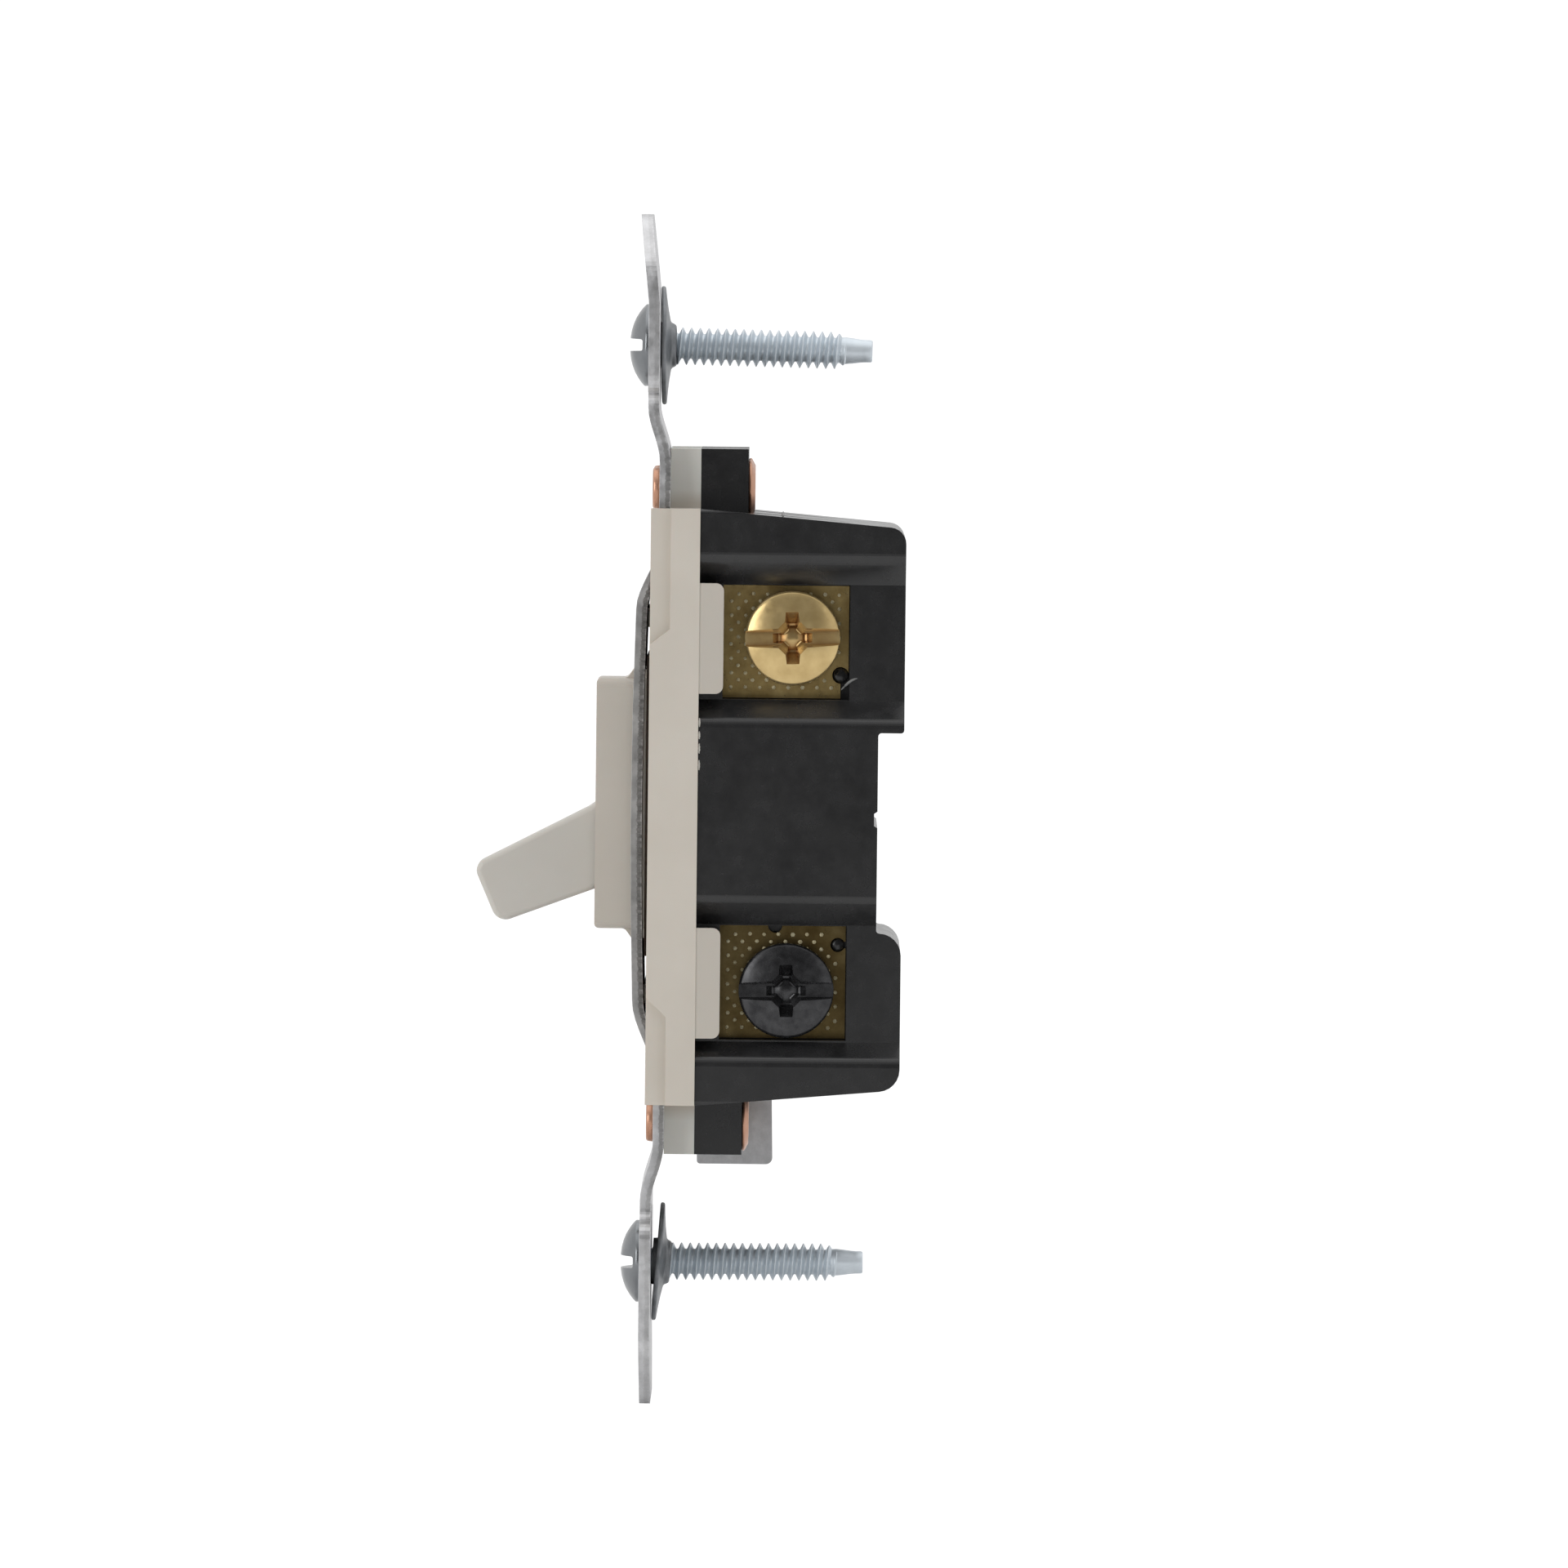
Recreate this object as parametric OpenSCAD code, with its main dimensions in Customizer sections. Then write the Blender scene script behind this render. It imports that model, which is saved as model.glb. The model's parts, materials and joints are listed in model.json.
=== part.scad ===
// Framed three-way toggle wall switch, loose, with its lever down.
// +Z is up, the lever points to -Y, and +X is to the right seen from the front.
// The origin lies midway between the mounting screws, on the plane that bears on the wall box.

/* [Mounting] */
// Distance between the two mounting screws
box_spacing = 83.34; // [83:0.01:84]
// Distance between the two wall-plate screw holes
plate_spacing = 60.33; // [60:0.01:61]

/* [Strap] */
// Length of the strap over its plaster ears
strap_l = 107.85; // [104:0.05:108.5]
// Thickness of the strap
strap_t = 1.0; // [0.8:0.1:1.2]
// Half width of the strap behind the collar
strap_hw = 13.9; // [13:0.1:14]
// Half width of the plaster ears
ear_hw = 19; // [17:0.5:20]

/* [Cover] */
// Length of the cover and housing
body_l = 54; // [53:0.5:54]
// Half width of the cover
cover_hw = 16.7; // [16.5:0.1:17]
// How far the collar stands out of the wall-box plane
collar_y = 5.48; // [5:0.02:6]
// Half length of the collar
collar_hl = 11.4; // [11.2:0.1:11.5]
// Half width of the collar
collar_hw = 5.0; // [4.8:0.1:5.2]

/* [Housing] */
// Depth of the housing behind the wall-box plane
housing_y = 22.5; // [22:0.1:24]
// Half width of the housing at its barriers
housing_hw = 16.5; // [16:0.1:16.6]

/* [Lever] */
// Depth of the lever's pivot
pivot_y = 4.0; // [3.9:0.1:4.1]
// Distance from the pivot to the lever's tip
lever_r = 21.2; // [19:0.1:22]
// Tilt of the lever from straight out, at either end of its throw
lever_tilt = 23.25; // [20:0.25:23.25]

/* [Screws] */
// Radius of a mounting screw's shank
shank_r = 1.75; // [1.7:0.01:1.78]
// Radius of a mounting screw's head
head_r = 3.75; // [3.5:0.05:4]
// Radius of a terminal screw's head
terminal_head_r = 4.3; // [4:0.05:4.35]

/* [Hidden] */

$fn = 64;
arc_steps = 6;      // segments in a rounded corner
cut = 0.5;          // how far a cutter runs past the surface it opens
big = 80;           // longer than anything it cuts
touch = 0.05;       // clearance of parts that slide in or lie beside each other

// Strap levels: depth of its front face
ear_y = -strap_t;
seat_y = 0.1;
bridge_y = -1.9;
top_lean = 0.8;
bottom_lean = -0.12;
bow = 0.28;         // how far the bridge bulges forwards in the middle
strap_shift = 0.32; // how far the strap's middle lies below the mounting screws' middle
strap_top = strap_l / 2 - strap_shift;
strap_bottom = strap_l / 2 + strap_shift;
// Ends of the straight parts, from the middle outwards: bridge, start of seat, seat, start of ear, ear
top_levels = [17.9, 23.9, 31.2, 36.2, 45.6];
bottom_levels = [17.6, 24.6, 30.7, 35.7, 47.5];
neck_z = 37.5;
window_gap = 1.0;
tab_x = 13.0;       // inner face of the ground tab
tab_y = 10.95;
tab_y0 = 4.0;
tab_z = 33.5;
ground_y = 6.3;
ground_z = -28.6;
ground_shank_r = 2.05;

// Cover levels
slab_y = -0.63;
slab_hl = 18.5;
rest_y = 1.1;       // where the strap's seat lies on the cover's ears
joint_y = 3.85;     // where cover and housing meet
rail_x = 14.1;
body_hl = body_l / 2;
ear_hl = 32.4;      // upper riveting ear
low_ear_hl = 31.65; // lower riveting ear
ear_root_z = 20;
rivet_ear_hw = 10.4;
slot_hl = 8.3;
slot_hw = 3.2;
lever_hw = 2.9;
drum_r = 8.0;
trunnion_r = 1.6;
trunnion_x = 6.2;
lug_y = 6.8;

// Housing levels
wall_x = 14.3;      // outer wall between the barriers
floor_x = 10.9;     // floor of a terminal recess
ear_back_y = 8.15;
waist_y = 20.15;
cavity_x = 9.0;
cavity_y = 17.0;
cavity_z = 13.2;
upper_recess_z = 9.8;   // lower end of the upper recesses
lower_recess_z = -21.05; // lower end of the lower recess
recess_h = 10.4;
recess_y0 = 6.0;
recess_y1 = 17.5;

// Terminals
plate_t = 1.0;
plate_y1 = 17.4;
upper_screw_y = 12.3;
lower_screw_y = 12.05;
upper_screw_z = 15.4;
lower_screw_z = -16.55;
terminal_shank_r = 2.05;
terminal_tip_x = 6.0;
screw_seat_x = 13.2;
terminal_head_t = 2.3;
strip_y = 16.2;     // front face of the contact strips
strip_x0 = 8.1;
strip_x1 = 8.9;
strip_z = 12.4;

// Rocker
rocker_y = 14.4;
rocker_tilt = 6;
contact_z = 9.5;
rocker_pin_r = 0.8;

// Rivets and wall-plate holes
rivet_x = 7;
rivet_z = 28.75;
rivet_r = 1.5;
plate_hole_r = 1.4;

// ---- Shapes that repeat ----

function unit(v) = v / norm(v);
function turn(d) = d > 180 ? d - 360 : d < -180 ? d + 360 : d;
function azimuth(v) = atan2(v.y, v.x);

// Corner b between a and c, rounded to radius r
function fillet(a, b, c, r) =
    let (u = unit(a - b), v = unit(c - b), half = acos(u * v) / 2)
    let (centre = b + unit(u + v) * r / sin(half))
    let (start = b + u * r / tan(half) - centre, end = b + v * r / tan(half) - centre)
    let (a0 = azimuth(start), sweep = turn(azimuth(end) - a0))
    [for (i = [0:arc_steps])
        centre + r * [cos(a0 + sweep * i / arc_steps), sin(a0 + sweep * i / arc_steps)]];

// Outline through [x, y, corner radius] points
function outline(pts) =
    let (n = len(pts))
    [for (i = [0:n - 1])
        let (a = pts[(i + n - 1) % n], b = pts[i], c = pts[(i + 1) % n])
        each (b.z == 0 ? [[b.x, b.y]] : fillet([a.x, a.y], [b.x, b.y], [c.x, c.y], b.z))];

// The other half of an outline, mirrored in its second axis
function mirrored(pts) = [for (i = [len(pts) - 1:-1:0]) [pts[i].x, -pts[i].y, pts[i].z]];

// A drawing in (Y, Z), pulled along X
module along_x(x0, x1) {
    translate([x0, 0, 0]) rotate([90, 0, 90]) linear_extrude(x1 - x0) children();
}

// A drawing in (X, Z), pulled along Y
module along_y(y0, y1) {
    translate([0, y1, 0]) rotate([90, 0, 0]) linear_extrude(y1 - y0) children();
}

// Box between two corners
module block(a, b) {
    translate(a) cube(b - a);
}

// Rods along X and along Y
module rod_x(x0, x1, y, z, r) {
    translate([x0, y, z]) rotate([0, 90, 0]) cylinder(h = x1 - x0, r = r);
}

module rod_y(y0, y1, x, z, r) {
    translate([x, y0, z]) rotate([-90, 0, 0]) cylinder(h = y1 - y0, r = r);
}

module both_ends() {
    children();
    mirror([0, 0, 1]) children();
}
module both_sides() {
    children();
    mirror([1, 0, 0]) children();
}

// ---- Strap ----

function ease(t) = t * t * (3 - 2 * t);
function bend(y0, y1, z0, z1) = [for (i = [0:8]) [y0 + (y1 - y0) * ease(i / 8), z0 + (z1 - z0) * i / 8]];

// Front face of the upper or the lower half, from the middle outwards
function strap_path(level, lean, end_z) = concat(
    [for (i = [0:5]) [bridge_y - bow * (1 - pow(i / 6, 2)), level[0] * i / 6]],
    bend(bridge_y, seat_y, level[0], level[1]),
    bend(seat_y, ear_y, level[2], level[3]),
    [[ear_y, level[4]], [ear_y - lean, end_z]]);

// Rear face: the front face moved back by the thickness, square to itself
function strap_back(path) = [for (i = [0:len(path) - 1])
    let (a = path[max(i - 1, 0)], b = path[min(i + 1, len(path) - 1)], d = unit(b - a))
    path[i] + strap_t * [d.y, -d.x]];

module strap_half_profile(level, lean, end_z) {
    path = strap_path(level, lean, end_z);
    back = strap_back(path);
    polygon(concat(path, [for (i = [len(back) - 1:-1:0]) back[i]]));
}

module strap_plan(end_z) {
    quarter = [[ear_hw, neck_z, 1.5], [ear_hw, end_z - 4.5, 3], [ear_hw - 6, end_z, 3]];
    left = [for (i = [len(quarter) - 1:-1:0]) [-quarter[i].x, quarter[i].y, quarter[i].z]];
    half = concat([[strap_hw, 0, 0], [strap_hw, neck_z, 1]], quarter, left,
        [[-strap_hw, neck_z, 1], [-strap_hw, 0, 0]]);
    polygon(outline(half));
}

module strap_openings() {
    slot_r = 2.0;
    slot_half = 2.6;
    score_x = 11.5;
    along_y(-big, big) {
        square([2 * (collar_hw + window_gap), 2 * (collar_hl + window_gap)], center = true);
        for (side = [-1, 1]) {
            translate([0, side * plate_spacing / 2]) circle(plate_hole_r);
            for (x = [-rivet_x, rivet_x]) translate([x, side * rivet_z]) circle(rivet_r + touch);
            translate([0, side * box_spacing / 2]) {
                square([2 * slot_half, 2 * slot_r], center = true);
                for (x = [-slot_half, slot_half]) translate([x, 0]) circle(slot_r);
            }
            for (x = [-score_x, score_x], z = [40, 45, 49.5])
                translate([x, side * z]) square([1.2, 2.6], center = true);
        }
    }
}

module ground_tab() {
    leg = [[seat_y + strap_t / 2, -31.8, 0], [5, -31.8, 0], [5, -27.6, 0],
        [seat_y + strap_t / 2, -27.6, 0]];
    plate = [[tab_y0, -tab_z, 0.3], [tab_y, -tab_z, 0.6], [tab_y - 0.2, -23.2, 0.8],
        [tab_y0, -23.2, 0.8]];
    difference() {
        along_x(-tab_x - strap_t, -tab_x) {
            polygon(outline(leg));
            polygon(outline(plate));
        }
        rod_x(-big, 0, ground_y, ground_z, ground_shank_r + touch);
    }
}

module strap_half(level, lean, end_z) {
    intersection() {
        along_x(-ear_hw - cut, ear_hw + cut) strap_half_profile(level, lean, end_z);
        along_y(-big, big) strap_plan(end_z);
    }
}

module strap() {
    color("darkgray") {
        difference() {
            union() {
                strap_half(top_levels, top_lean, strap_top);
                mirror([0, 0, 1]) strap_half(bottom_levels, bottom_lean, strap_bottom);
            }
            strap_openings();
        }
        ground_tab();
    }
}

// ---- Cover ----

module riveting_ears(y0, y1) {
    block([-rivet_ear_hw, y0, ear_root_z], [rivet_ear_hw, y1, ear_hl]);
    block([-rivet_ear_hw, y0, -low_ear_hl], [rivet_ear_hw, y1, -ear_root_z]);
}

module cover_block() {
    pad_hw = 12;
    block([-cover_hw, slab_y, -slab_hl], [cover_hw, joint_y, slab_hl]);
    both_ends() block([-pad_hw, slab_y - 0.22, 16.2], [pad_hw, joint_y, slab_hl - 0.6]);
    block([-cover_hw, rest_y, -body_hl], [cover_hw, joint_y, body_hl]);
    both_ends() both_sides()
        block([rail_x, slab_y, 0], [cover_hw, joint_y, body_hl]);
    riveting_ears(rest_y, joint_y);
}

// The side face steps in beside the strap's bends
module cover_side_step() {
    step_x = cover_hw - 0.8;
    end_z = body_hl + cut;
    for (step = [[[slab_y - cut, 14.3], [1.2, 16.1], [1.2, end_z], [slab_y - cut, end_z]],
            [[slab_y - cut, -16.8], [1.2, -19.0], [1.2, -end_z], [slab_y - cut, -end_z]]])
        both_sides() along_x(step_x, cover_hw + cut) polygon(step);
}

// Flaps that close the terminal recesses in front; their outer faces lean in towards the rear
module cover_flaps() {
    flap_x = 15.2;
    flap_y = 6.05;
    flap_h = 10;
    lean = [[flap_x, joint_y - cut], [cover_hw - 0.1, joint_y - cut], [cover_hw - 0.12, joint_y],
        [cover_hw - 0.4, flap_y], [flap_x, flap_y]];
    for (z = [10.3, -20.9]) both_sides() intersection() {
        translate([0, 0, z]) linear_extrude(flap_h) polygon(lean);
        along_x(flap_x - cut, cover_hw + cut) polygon(outline([
            [joint_y - cut, z, 0], [flap_y, z, 0.7], [flap_y, z + flap_h, 0.7],
            [joint_y - cut, z + flap_h, 0]]));
    }
}

module collar() {
    flare = 0.85;
    flare_y = bridge_y - 0.2;
    plan = [[-collar_hw, -collar_hl, 0.8], [collar_hw, -collar_hl, 0.8],
        [collar_hw, collar_hl, 0.8], [-collar_hw, collar_hl, 0.8]];
    rim = [[-collar_y, 0, 0], [-collar_y, collar_hl, 0.45], [flare_y - 0.6, collar_hl, 0.6],
        [flare_y, collar_hl + flare, 0.2], [0, collar_hl + flare, 0]];
    intersection() {
        along_y(-collar_y, 0) {
            polygon(outline(plan));
            square([2 * (collar_hw - 0.8), 2 * (collar_hl + flare)], center = true);
        }
        along_x(-big, big) polygon(outline(concat(rim, mirrored(rim))));
    }
}

// Pockets for the lever's trunnions, open to the rear
module trunnion_pockets() {
    pocket_r = trunnion_r + touch;
    pocket_x = trunnion_x + 0.1;
    rod_x(-pocket_x, pocket_x, pivot_y, 0, pocket_r);
    block([-pocket_x, pivot_y, -pocket_r], [pocket_x, lug_y + cut, pocket_r]);
}

// Holes for the rivets, and clearance for the wall-plate screws, open at the ears' ends
module riveting_ear_holes() {
    clear_r = 2.1;
    both_ends() {
        rod_y(0, ear_back_y + cut, 0, plate_spacing / 2, clear_r);
        block([-clear_r, 0, plate_spacing / 2], [clear_r, ear_back_y + cut, ear_hl + cut]);
        for (x = [-rivet_x, rivet_x]) rod_y(0, ear_back_y + cut, x, rivet_z, rivet_r + touch);
    }
}

module cover_shell() {
    hollow = 12.8;
    hollow_z = 15.8;
    rib = 1.2;
    difference() {
        union() {
            cover_block();
            cover_flaps();
        }
        cover_side_step();
        block([-hollow, 1.0, -hollow_z], [hollow, joint_y + cut, hollow_z]);
    }
    both_sides() block([slot_hw, slab_y, -hollow_z], [slot_hw + rib, joint_y, hollow_z]);
    both_ends() block([-hollow, slab_y, slot_hl], [hollow, joint_y, slot_hl + rib]);
    both_sides() block([slot_hw, slab_y, -3.2], [trunnion_x + 0.5, lug_y, 3.2]);
}

module front_cover() {
    color("antiquewhite") difference() {
        union() {
            cover_shell();
            collar();
        }
        block([-slot_hw, -big, -slot_hl], [slot_hw, big, slot_hl]);
        trunnion_pockets();
        riveting_ear_holes();
        rod_x(-big, -12.3, ground_y, ground_z, 4.6);
    }
}

// ---- Insulator ----

module insulator_sheet() {
    color("saddlebrown") along_y(bridge_y + strap_t + 0.02, slab_y - 0.02) difference() {
        square([26, 27.2], center = true);
        square([2 * collar_hw + 0.5, 2 * collar_hl + 2], center = true);
    }
}

// ---- Housing ----

// Side view: taper, rear corners and the step across the back
module housing_side() {
    back_hl = body_hl - 1.6;
    polygon(outline([
        [joint_y, -body_hl, 0], [housing_y - 0.1, -back_hl, 2.0], [housing_y - 0.1, -11.3, 2.0],
        [waist_y, -11.3, 0.3], [waist_y, -1.7, 0],
        [waist_y - 0.3, -1.5, 0],
        [waist_y - 0.3, -0.4, 0], [waist_y, -0.2, 0], [waist_y, 6.9, 0.3],
        [housing_y, 6.9, 0.3], [housing_y, back_hl, 1.5], [joint_y, body_hl, 0]]));
}

// Plan of one side: barriers stand out at the ends and the middle
module housing_plan() {
    side = [
        [0, -body_hl, 0], [housing_hw, -body_hl, 0.4],
        [housing_hw, -22.8, 1.2], [wall_x, -21.2, 0], [wall_x, -10.6, 0], [housing_hw, -8.3, 1],
        [housing_hw, 7.8, 1.2], [wall_x, 9.75, 0], [wall_x, 20.25, 0], [housing_hw, 22.5, 1.5],
        [housing_hw, body_hl, 0.4], [0, body_hl, 0]];
    polygon(outline(side));
    mirror([1, 0]) polygon(outline(side));
}

module terminal_recess(bottom) {
    z0 = bottom ? lower_recess_z : upper_recess_z;
    z1 = z0 + recess_h;
    leg_z = bottom ? -strip_z - 0.1 : strip_z - 1.1;
    block([floor_x, recess_y0, z0], [big, recess_y1, z1]);
    block([floor_x, joint_y - cut, z0 + touch], [floor_x + plate_t + touch, recess_y0 + cut, z1 - touch]);
    block([cavity_x - cut, joint_y - cut, leg_z], [floor_x + cut, cavity_y, leg_z + 1.2]);
    rod_x(terminal_tip_x - cut, floor_x + cut, bottom ? lower_screw_y : upper_screw_y,
        bottom ? lower_screw_z : upper_screw_z, terminal_shank_r + 0.35);
}

module rear_housing() {
    color("dimgray") difference() {
        union() {
            intersection() {
                along_x(-housing_hw - cut, housing_hw + cut) housing_side();
                along_y(joint_y, housing_y + cut) housing_plan();
            }
            riveting_ears(joint_y, ear_back_y);
        }
        block([-cavity_x, joint_y - cut, -cavity_z], [cavity_x, cavity_y, cavity_z]);
        terminal_recess(false);
        terminal_recess(true);
        mirror([1, 0, 0]) terminal_recess(false);
        block([-big, joint_y - cut, -big], [-12.3, 13, -22]);
        rod_x(-12.3 - cut, -rivet_ear_hw - 0.2, ground_y, ground_z, ground_shank_r + 0.4);
        riveting_ear_holes();
        both_ends() for (x = [-rivet_x, rivet_x]) rod_y(ear_back_y, big, x, rivet_z, 2.9);
    }
}

// ---- Rivets ----

module rivet() {
    rotate_extrude() polygon(outline([
        [0, -0.65, 0], [1.85, -0.65, 0.25], [1.93, 0, 0], [rivet_r, 0, 0],
        [rivet_r, ear_back_y - seat_y, 0], [2.65, ear_back_y - seat_y, 0],
        [2.65, ear_back_y - seat_y + 0.25, 0.1], [2.0, ear_back_y - seat_y + 0.6, 0.1],
        [1.0, ear_back_y - seat_y + 0.6, 0], [1.0, 2, 0], [0, 2, 0]]));
}

module rivet_pair(z) {
    color("peru") for (x = [-rivet_x, rivet_x])
        translate([x, seat_y, z]) rotate([-90, 0, 0]) rivet();
}

module rivets_upper() {
    rivet_pair(rivet_z);
}

module rivets_lower() {
    rivet_pair(-rivet_z);
}

// ---- Lever ----

module toggle() {
    tail = 2.8;
    handle = [[-lever_r, -3.0, 1.3], [-lever_r, 2.8, 1.1], [-9.5, 3.6, 2], [-6.5, 4.2, 0],
        [-6.5, -4.2, 0], [-9.5, -3.6, 2]];
    color("antiquewhite") translate([0, pivot_y, 0]) rotate([lever_tilt, 0, 0]) {
        difference() {
            along_x(-lever_hw, lever_hw) {
                polygon(outline(handle));
                circle(drum_r);
            }
            block([-big, tail, -big], [big, big, big]);
        }
        rod_x(-trunnion_x, trunnion_x, 0, 0, trunnion_r);
        rod_y(tail - cut, tail + 0.5, 0, 0, 0.7);
    }
}

// ---- Spring and rocker ----

spring_a = [pivot_y + 3.75 * cos(lever_tilt), 3.75 * sin(lever_tilt)];
spring_b = [rocker_y - 1.75, -0.13];
spring_r = 1.35;
wire_r = 0.18;
spring_turns = 6;
steps_per_turn = 12;
wire_sides = 8;

// Centre line of the coil, and a ring of points round it
function coil_ring(i, length) =
    let (angle = 360 * i / steps_per_turn, rise = length * i / (spring_turns * steps_per_turn))
    [for (k = [0:wire_sides - 1])
        let (a = 360 * k / wire_sides, reach = spring_r + wire_r * cos(a))
        [reach * cos(angle), reach * sin(angle), rise + wire_r * sin(a)]];

module toggle_spring() {
    along = spring_b - spring_a;
    length = norm(along) - 2 * wire_r - 0.1;
    rings = spring_turns * steps_per_turn;
    points = [for (i = [0:rings]) each coil_ring(i, length)];
    sides = [for (i = [0:rings - 1], k = [0:wire_sides - 1])
        let (n = (k + 1) % wire_sides, a = i * wire_sides, b = a + wire_sides)
        [a + k, b + k, b + n, a + n]];
    first = [for (k = [0:wire_sides - 1]) k];
    last = [for (k = [wire_sides - 1:-1:0]) rings * wire_sides + k];
    color("silver") translate([0, spring_a.x, spring_a.y])
        rotate([azimuth(along) - 90, 0, 0]) translate([0, 0, wire_r + 0.05])
            polyhedron(points, concat(sides, [first, last]));
}

module rocker_pose() {
    translate([0, rocker_y, 0]) rotate([rocker_tilt, 0, 0]) children();
}

module contact_rocker() {
    arm_hw = 2.6;
    arm_y0 = -1.22;
    arm_y1 = -0.42;
    color("goldenrod") rocker_pose() difference() {
        union() {
            block([-arm_hw, arm_y0, -11], [arm_hw, arm_y1, 11]);
            rod_x(-arm_hw, arm_hw, 0, 0, 1.5);
            rod_y(arm_y0 - 0.4, arm_y0 + 0.2, 0, 0, 0.8);
        }
        rod_x(-big, big, 0, 0, rocker_pin_r + touch);
    }
}

module rocker_pin() {
    color("silver") rod_x(-4.3, 4.3, rocker_y, 0, rocker_pin_r);
}

module moving_contacts() {
    color("lightgray") rocker_pose() both_ends() rod_y(-0.42, 0, 0, contact_z, 1.5);
}

module fixed_contacts() {
    color("lightgray") both_ends() rod_y(strip_y - 0.6, strip_y, 0, contact_z, 1.5);
}

// ---- Terminals ----

// Plate under a screw, gripped between cover and housing, with a notch in its rear edge
module screw_plate(bottom) {
    z0 = (bottom ? lower_recess_z : upper_recess_z) + 0.1;
    z1 = z0 + recess_h - 0.2;
    screw_y = bottom ? lower_screw_y : upper_screw_y;
    screw_z = bottom ? lower_screw_z : upper_screw_z;
    notch_y = plate_y1 - 0.72;
    notch_z = bottom ? z1 - 1.7 : z0 + 2.1;
    notch_r = bottom ? 0.65 : 0.76;
    leg_z = bottom ? -strip_z : strip_z - 1;
    difference() {
        block([floor_x, joint_y + touch, z0], [floor_x + plate_t, plate_y1, z1]);
        rod_x(0, big, screw_y, screw_z, terminal_shank_r + touch);
        rod_x(0, big, notch_y, notch_z, notch_r);
        if (bottom) {
            block([0, notch_y, notch_z - 0.3], [big, plate_y1 + cut, notch_z + 0.3]);
            rod_x(0, big, 11, z1, 0.65);
        } else block([0, notch_y, z0 - cut], [big, plate_y1 + cut, notch_z]);
    }
    block([strip_x0, cavity_y - 3, leg_z], [floor_x + cut, cavity_y, leg_z + 1]);
}

module common_terminal() {
    color("darkgoldenrod") {
        screw_plate(true);
        block([strip_x0, cavity_y - 3, -strip_z], [strip_x1, cavity_y, 2]);
        block([-4.1, strip_y, -2], [strip_x1, cavity_y, 2]);
        difference() {
            for (x = [-4.1, 3.3]) block([x, rocker_y - 1.4, -1.8], [x + 0.8, cavity_y, 1.8]);
            rod_x(-big, big, rocker_y, 0, rocker_pin_r);
        }
    }
}

module traveler_terminal_right() {
    color("goldenrod") {
        screw_plate(false);
        block([-3, strip_y, 7], [strip_x1, cavity_y, strip_z]);
    }
}

module traveler_terminal_left() {
    color("goldenrod") {
        mirror([1, 0, 0]) screw_plate(false);
        block([-strip_x1, cavity_y - 3, -strip_z], [-strip_x0, cavity_y, strip_z]);
        block([-strip_x1, strip_y, -strip_z], [3, cavity_y, -7]);
    }
}

// Combination-head screw along +X: head, shank and the slots in its face
module terminal_screw() {
    face_x = screw_seat_x + terminal_head_t;
    slot_w = 1.24;
    difference() {
        union() {
            translate([screw_seat_x, 0, 0]) rotate([0, 90, 0]) rotate_extrude() polygon(outline([
                [0, 0, 0], [terminal_head_r, 0, 0.2], [terminal_head_r, terminal_head_t, 0.45],
                [0, terminal_head_t, 0]]));
            rod_x(terminal_tip_x, screw_seat_x + cut, 0, 0, terminal_shank_r);
        }
        block([face_x - 1.1, -terminal_head_r - cut, -slot_w / 2],
            [face_x + cut, terminal_head_r + cut, slot_w / 2]);
        block([face_x - 1.1, -slot_w / 2, -2.4], [face_x + cut, slot_w / 2, 2.4]);
    }
}

module common_screw() {
    color("black") translate([0, lower_screw_y, lower_screw_z]) terminal_screw();
}

module traveler_screw_right() {
    color("gold") translate([0, upper_screw_y, upper_screw_z]) terminal_screw();
}

module traveler_screw_left() {
    color("gold") mirror([1, 0, 0]) translate([0, upper_screw_y, upper_screw_z]) terminal_screw();
}

module ground_screw() {
    hex_r = 3.9;
    head_x = -tab_x - strap_t - 1.2;
    color("green") translate([0, ground_y, ground_z]) difference() {
        union() {
            translate([head_x - 2.6, 0, 0]) rotate([0, 90, 0]) cylinder(h = 2.6, r = hex_r, $fn = 6);
            rod_x(head_x - cut, -tab_x + 2.1, 0, 0, ground_shank_r);
        }
        block([head_x - 2.6 - cut, -hex_r, -0.6], [head_x - 1.6, hex_r, 0.6]);
    }
}

// ---- Mounting screws ----

// Round head, shank, point and slot, with the seat of the head at the origin
module mount_screw(z) {
    head_h = 1.85;
    neck_r = 1.5;
    neck_end = 3.05;
    thread_end = 17.5;
    tip = 20.3;
    point_r = 1.02;
    color("silver") translate([0, ear_y, z]) difference() {
        rotate([-90, 0, 0]) rotate_extrude() polygon(outline([
            [0, -head_h, 0], [1.6, -head_h, 1.2], [3.3, -head_h + 0.6, 1.2], [head_r, -0.05, 0.2],
            [head_r - 0.2, 0, 0], [neck_r, 0, 0], [neck_r, neck_end, 0], [shank_r, neck_end, 0],
            [shank_r, thread_end, 0],
            [1.2, thread_end + 0.4, 0], [point_r, tip - 0.7, 0], [point_r, tip, 0.1], [0, tip, 0]]));
        block([-head_r - cut, -head_h - cut, -0.55], [head_r + cut, -head_h + 1.08, 0.55]);
    }
}

module mount_screw_top() {
    mount_screw(box_spacing / 2);
}

module mount_screw_bottom() {
    mount_screw(-box_spacing / 2);
}

module retaining_washer(z) {
    color("dimgray") translate([0, 0, z]) rotate([-90, 0, 0]) rotate_extrude() polygon(outline([
        [shank_r + touch, 0, 0], [5.4, 0, 0.1], [5.4, 0.44, 0.1], [2.3, 0.85, 0.1], [2.05, 1.5, 0],
        [shank_r + touch, 1.6, 0]]));
}

module retaining_washer_top() {
    retaining_washer(box_spacing / 2);
}

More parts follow.
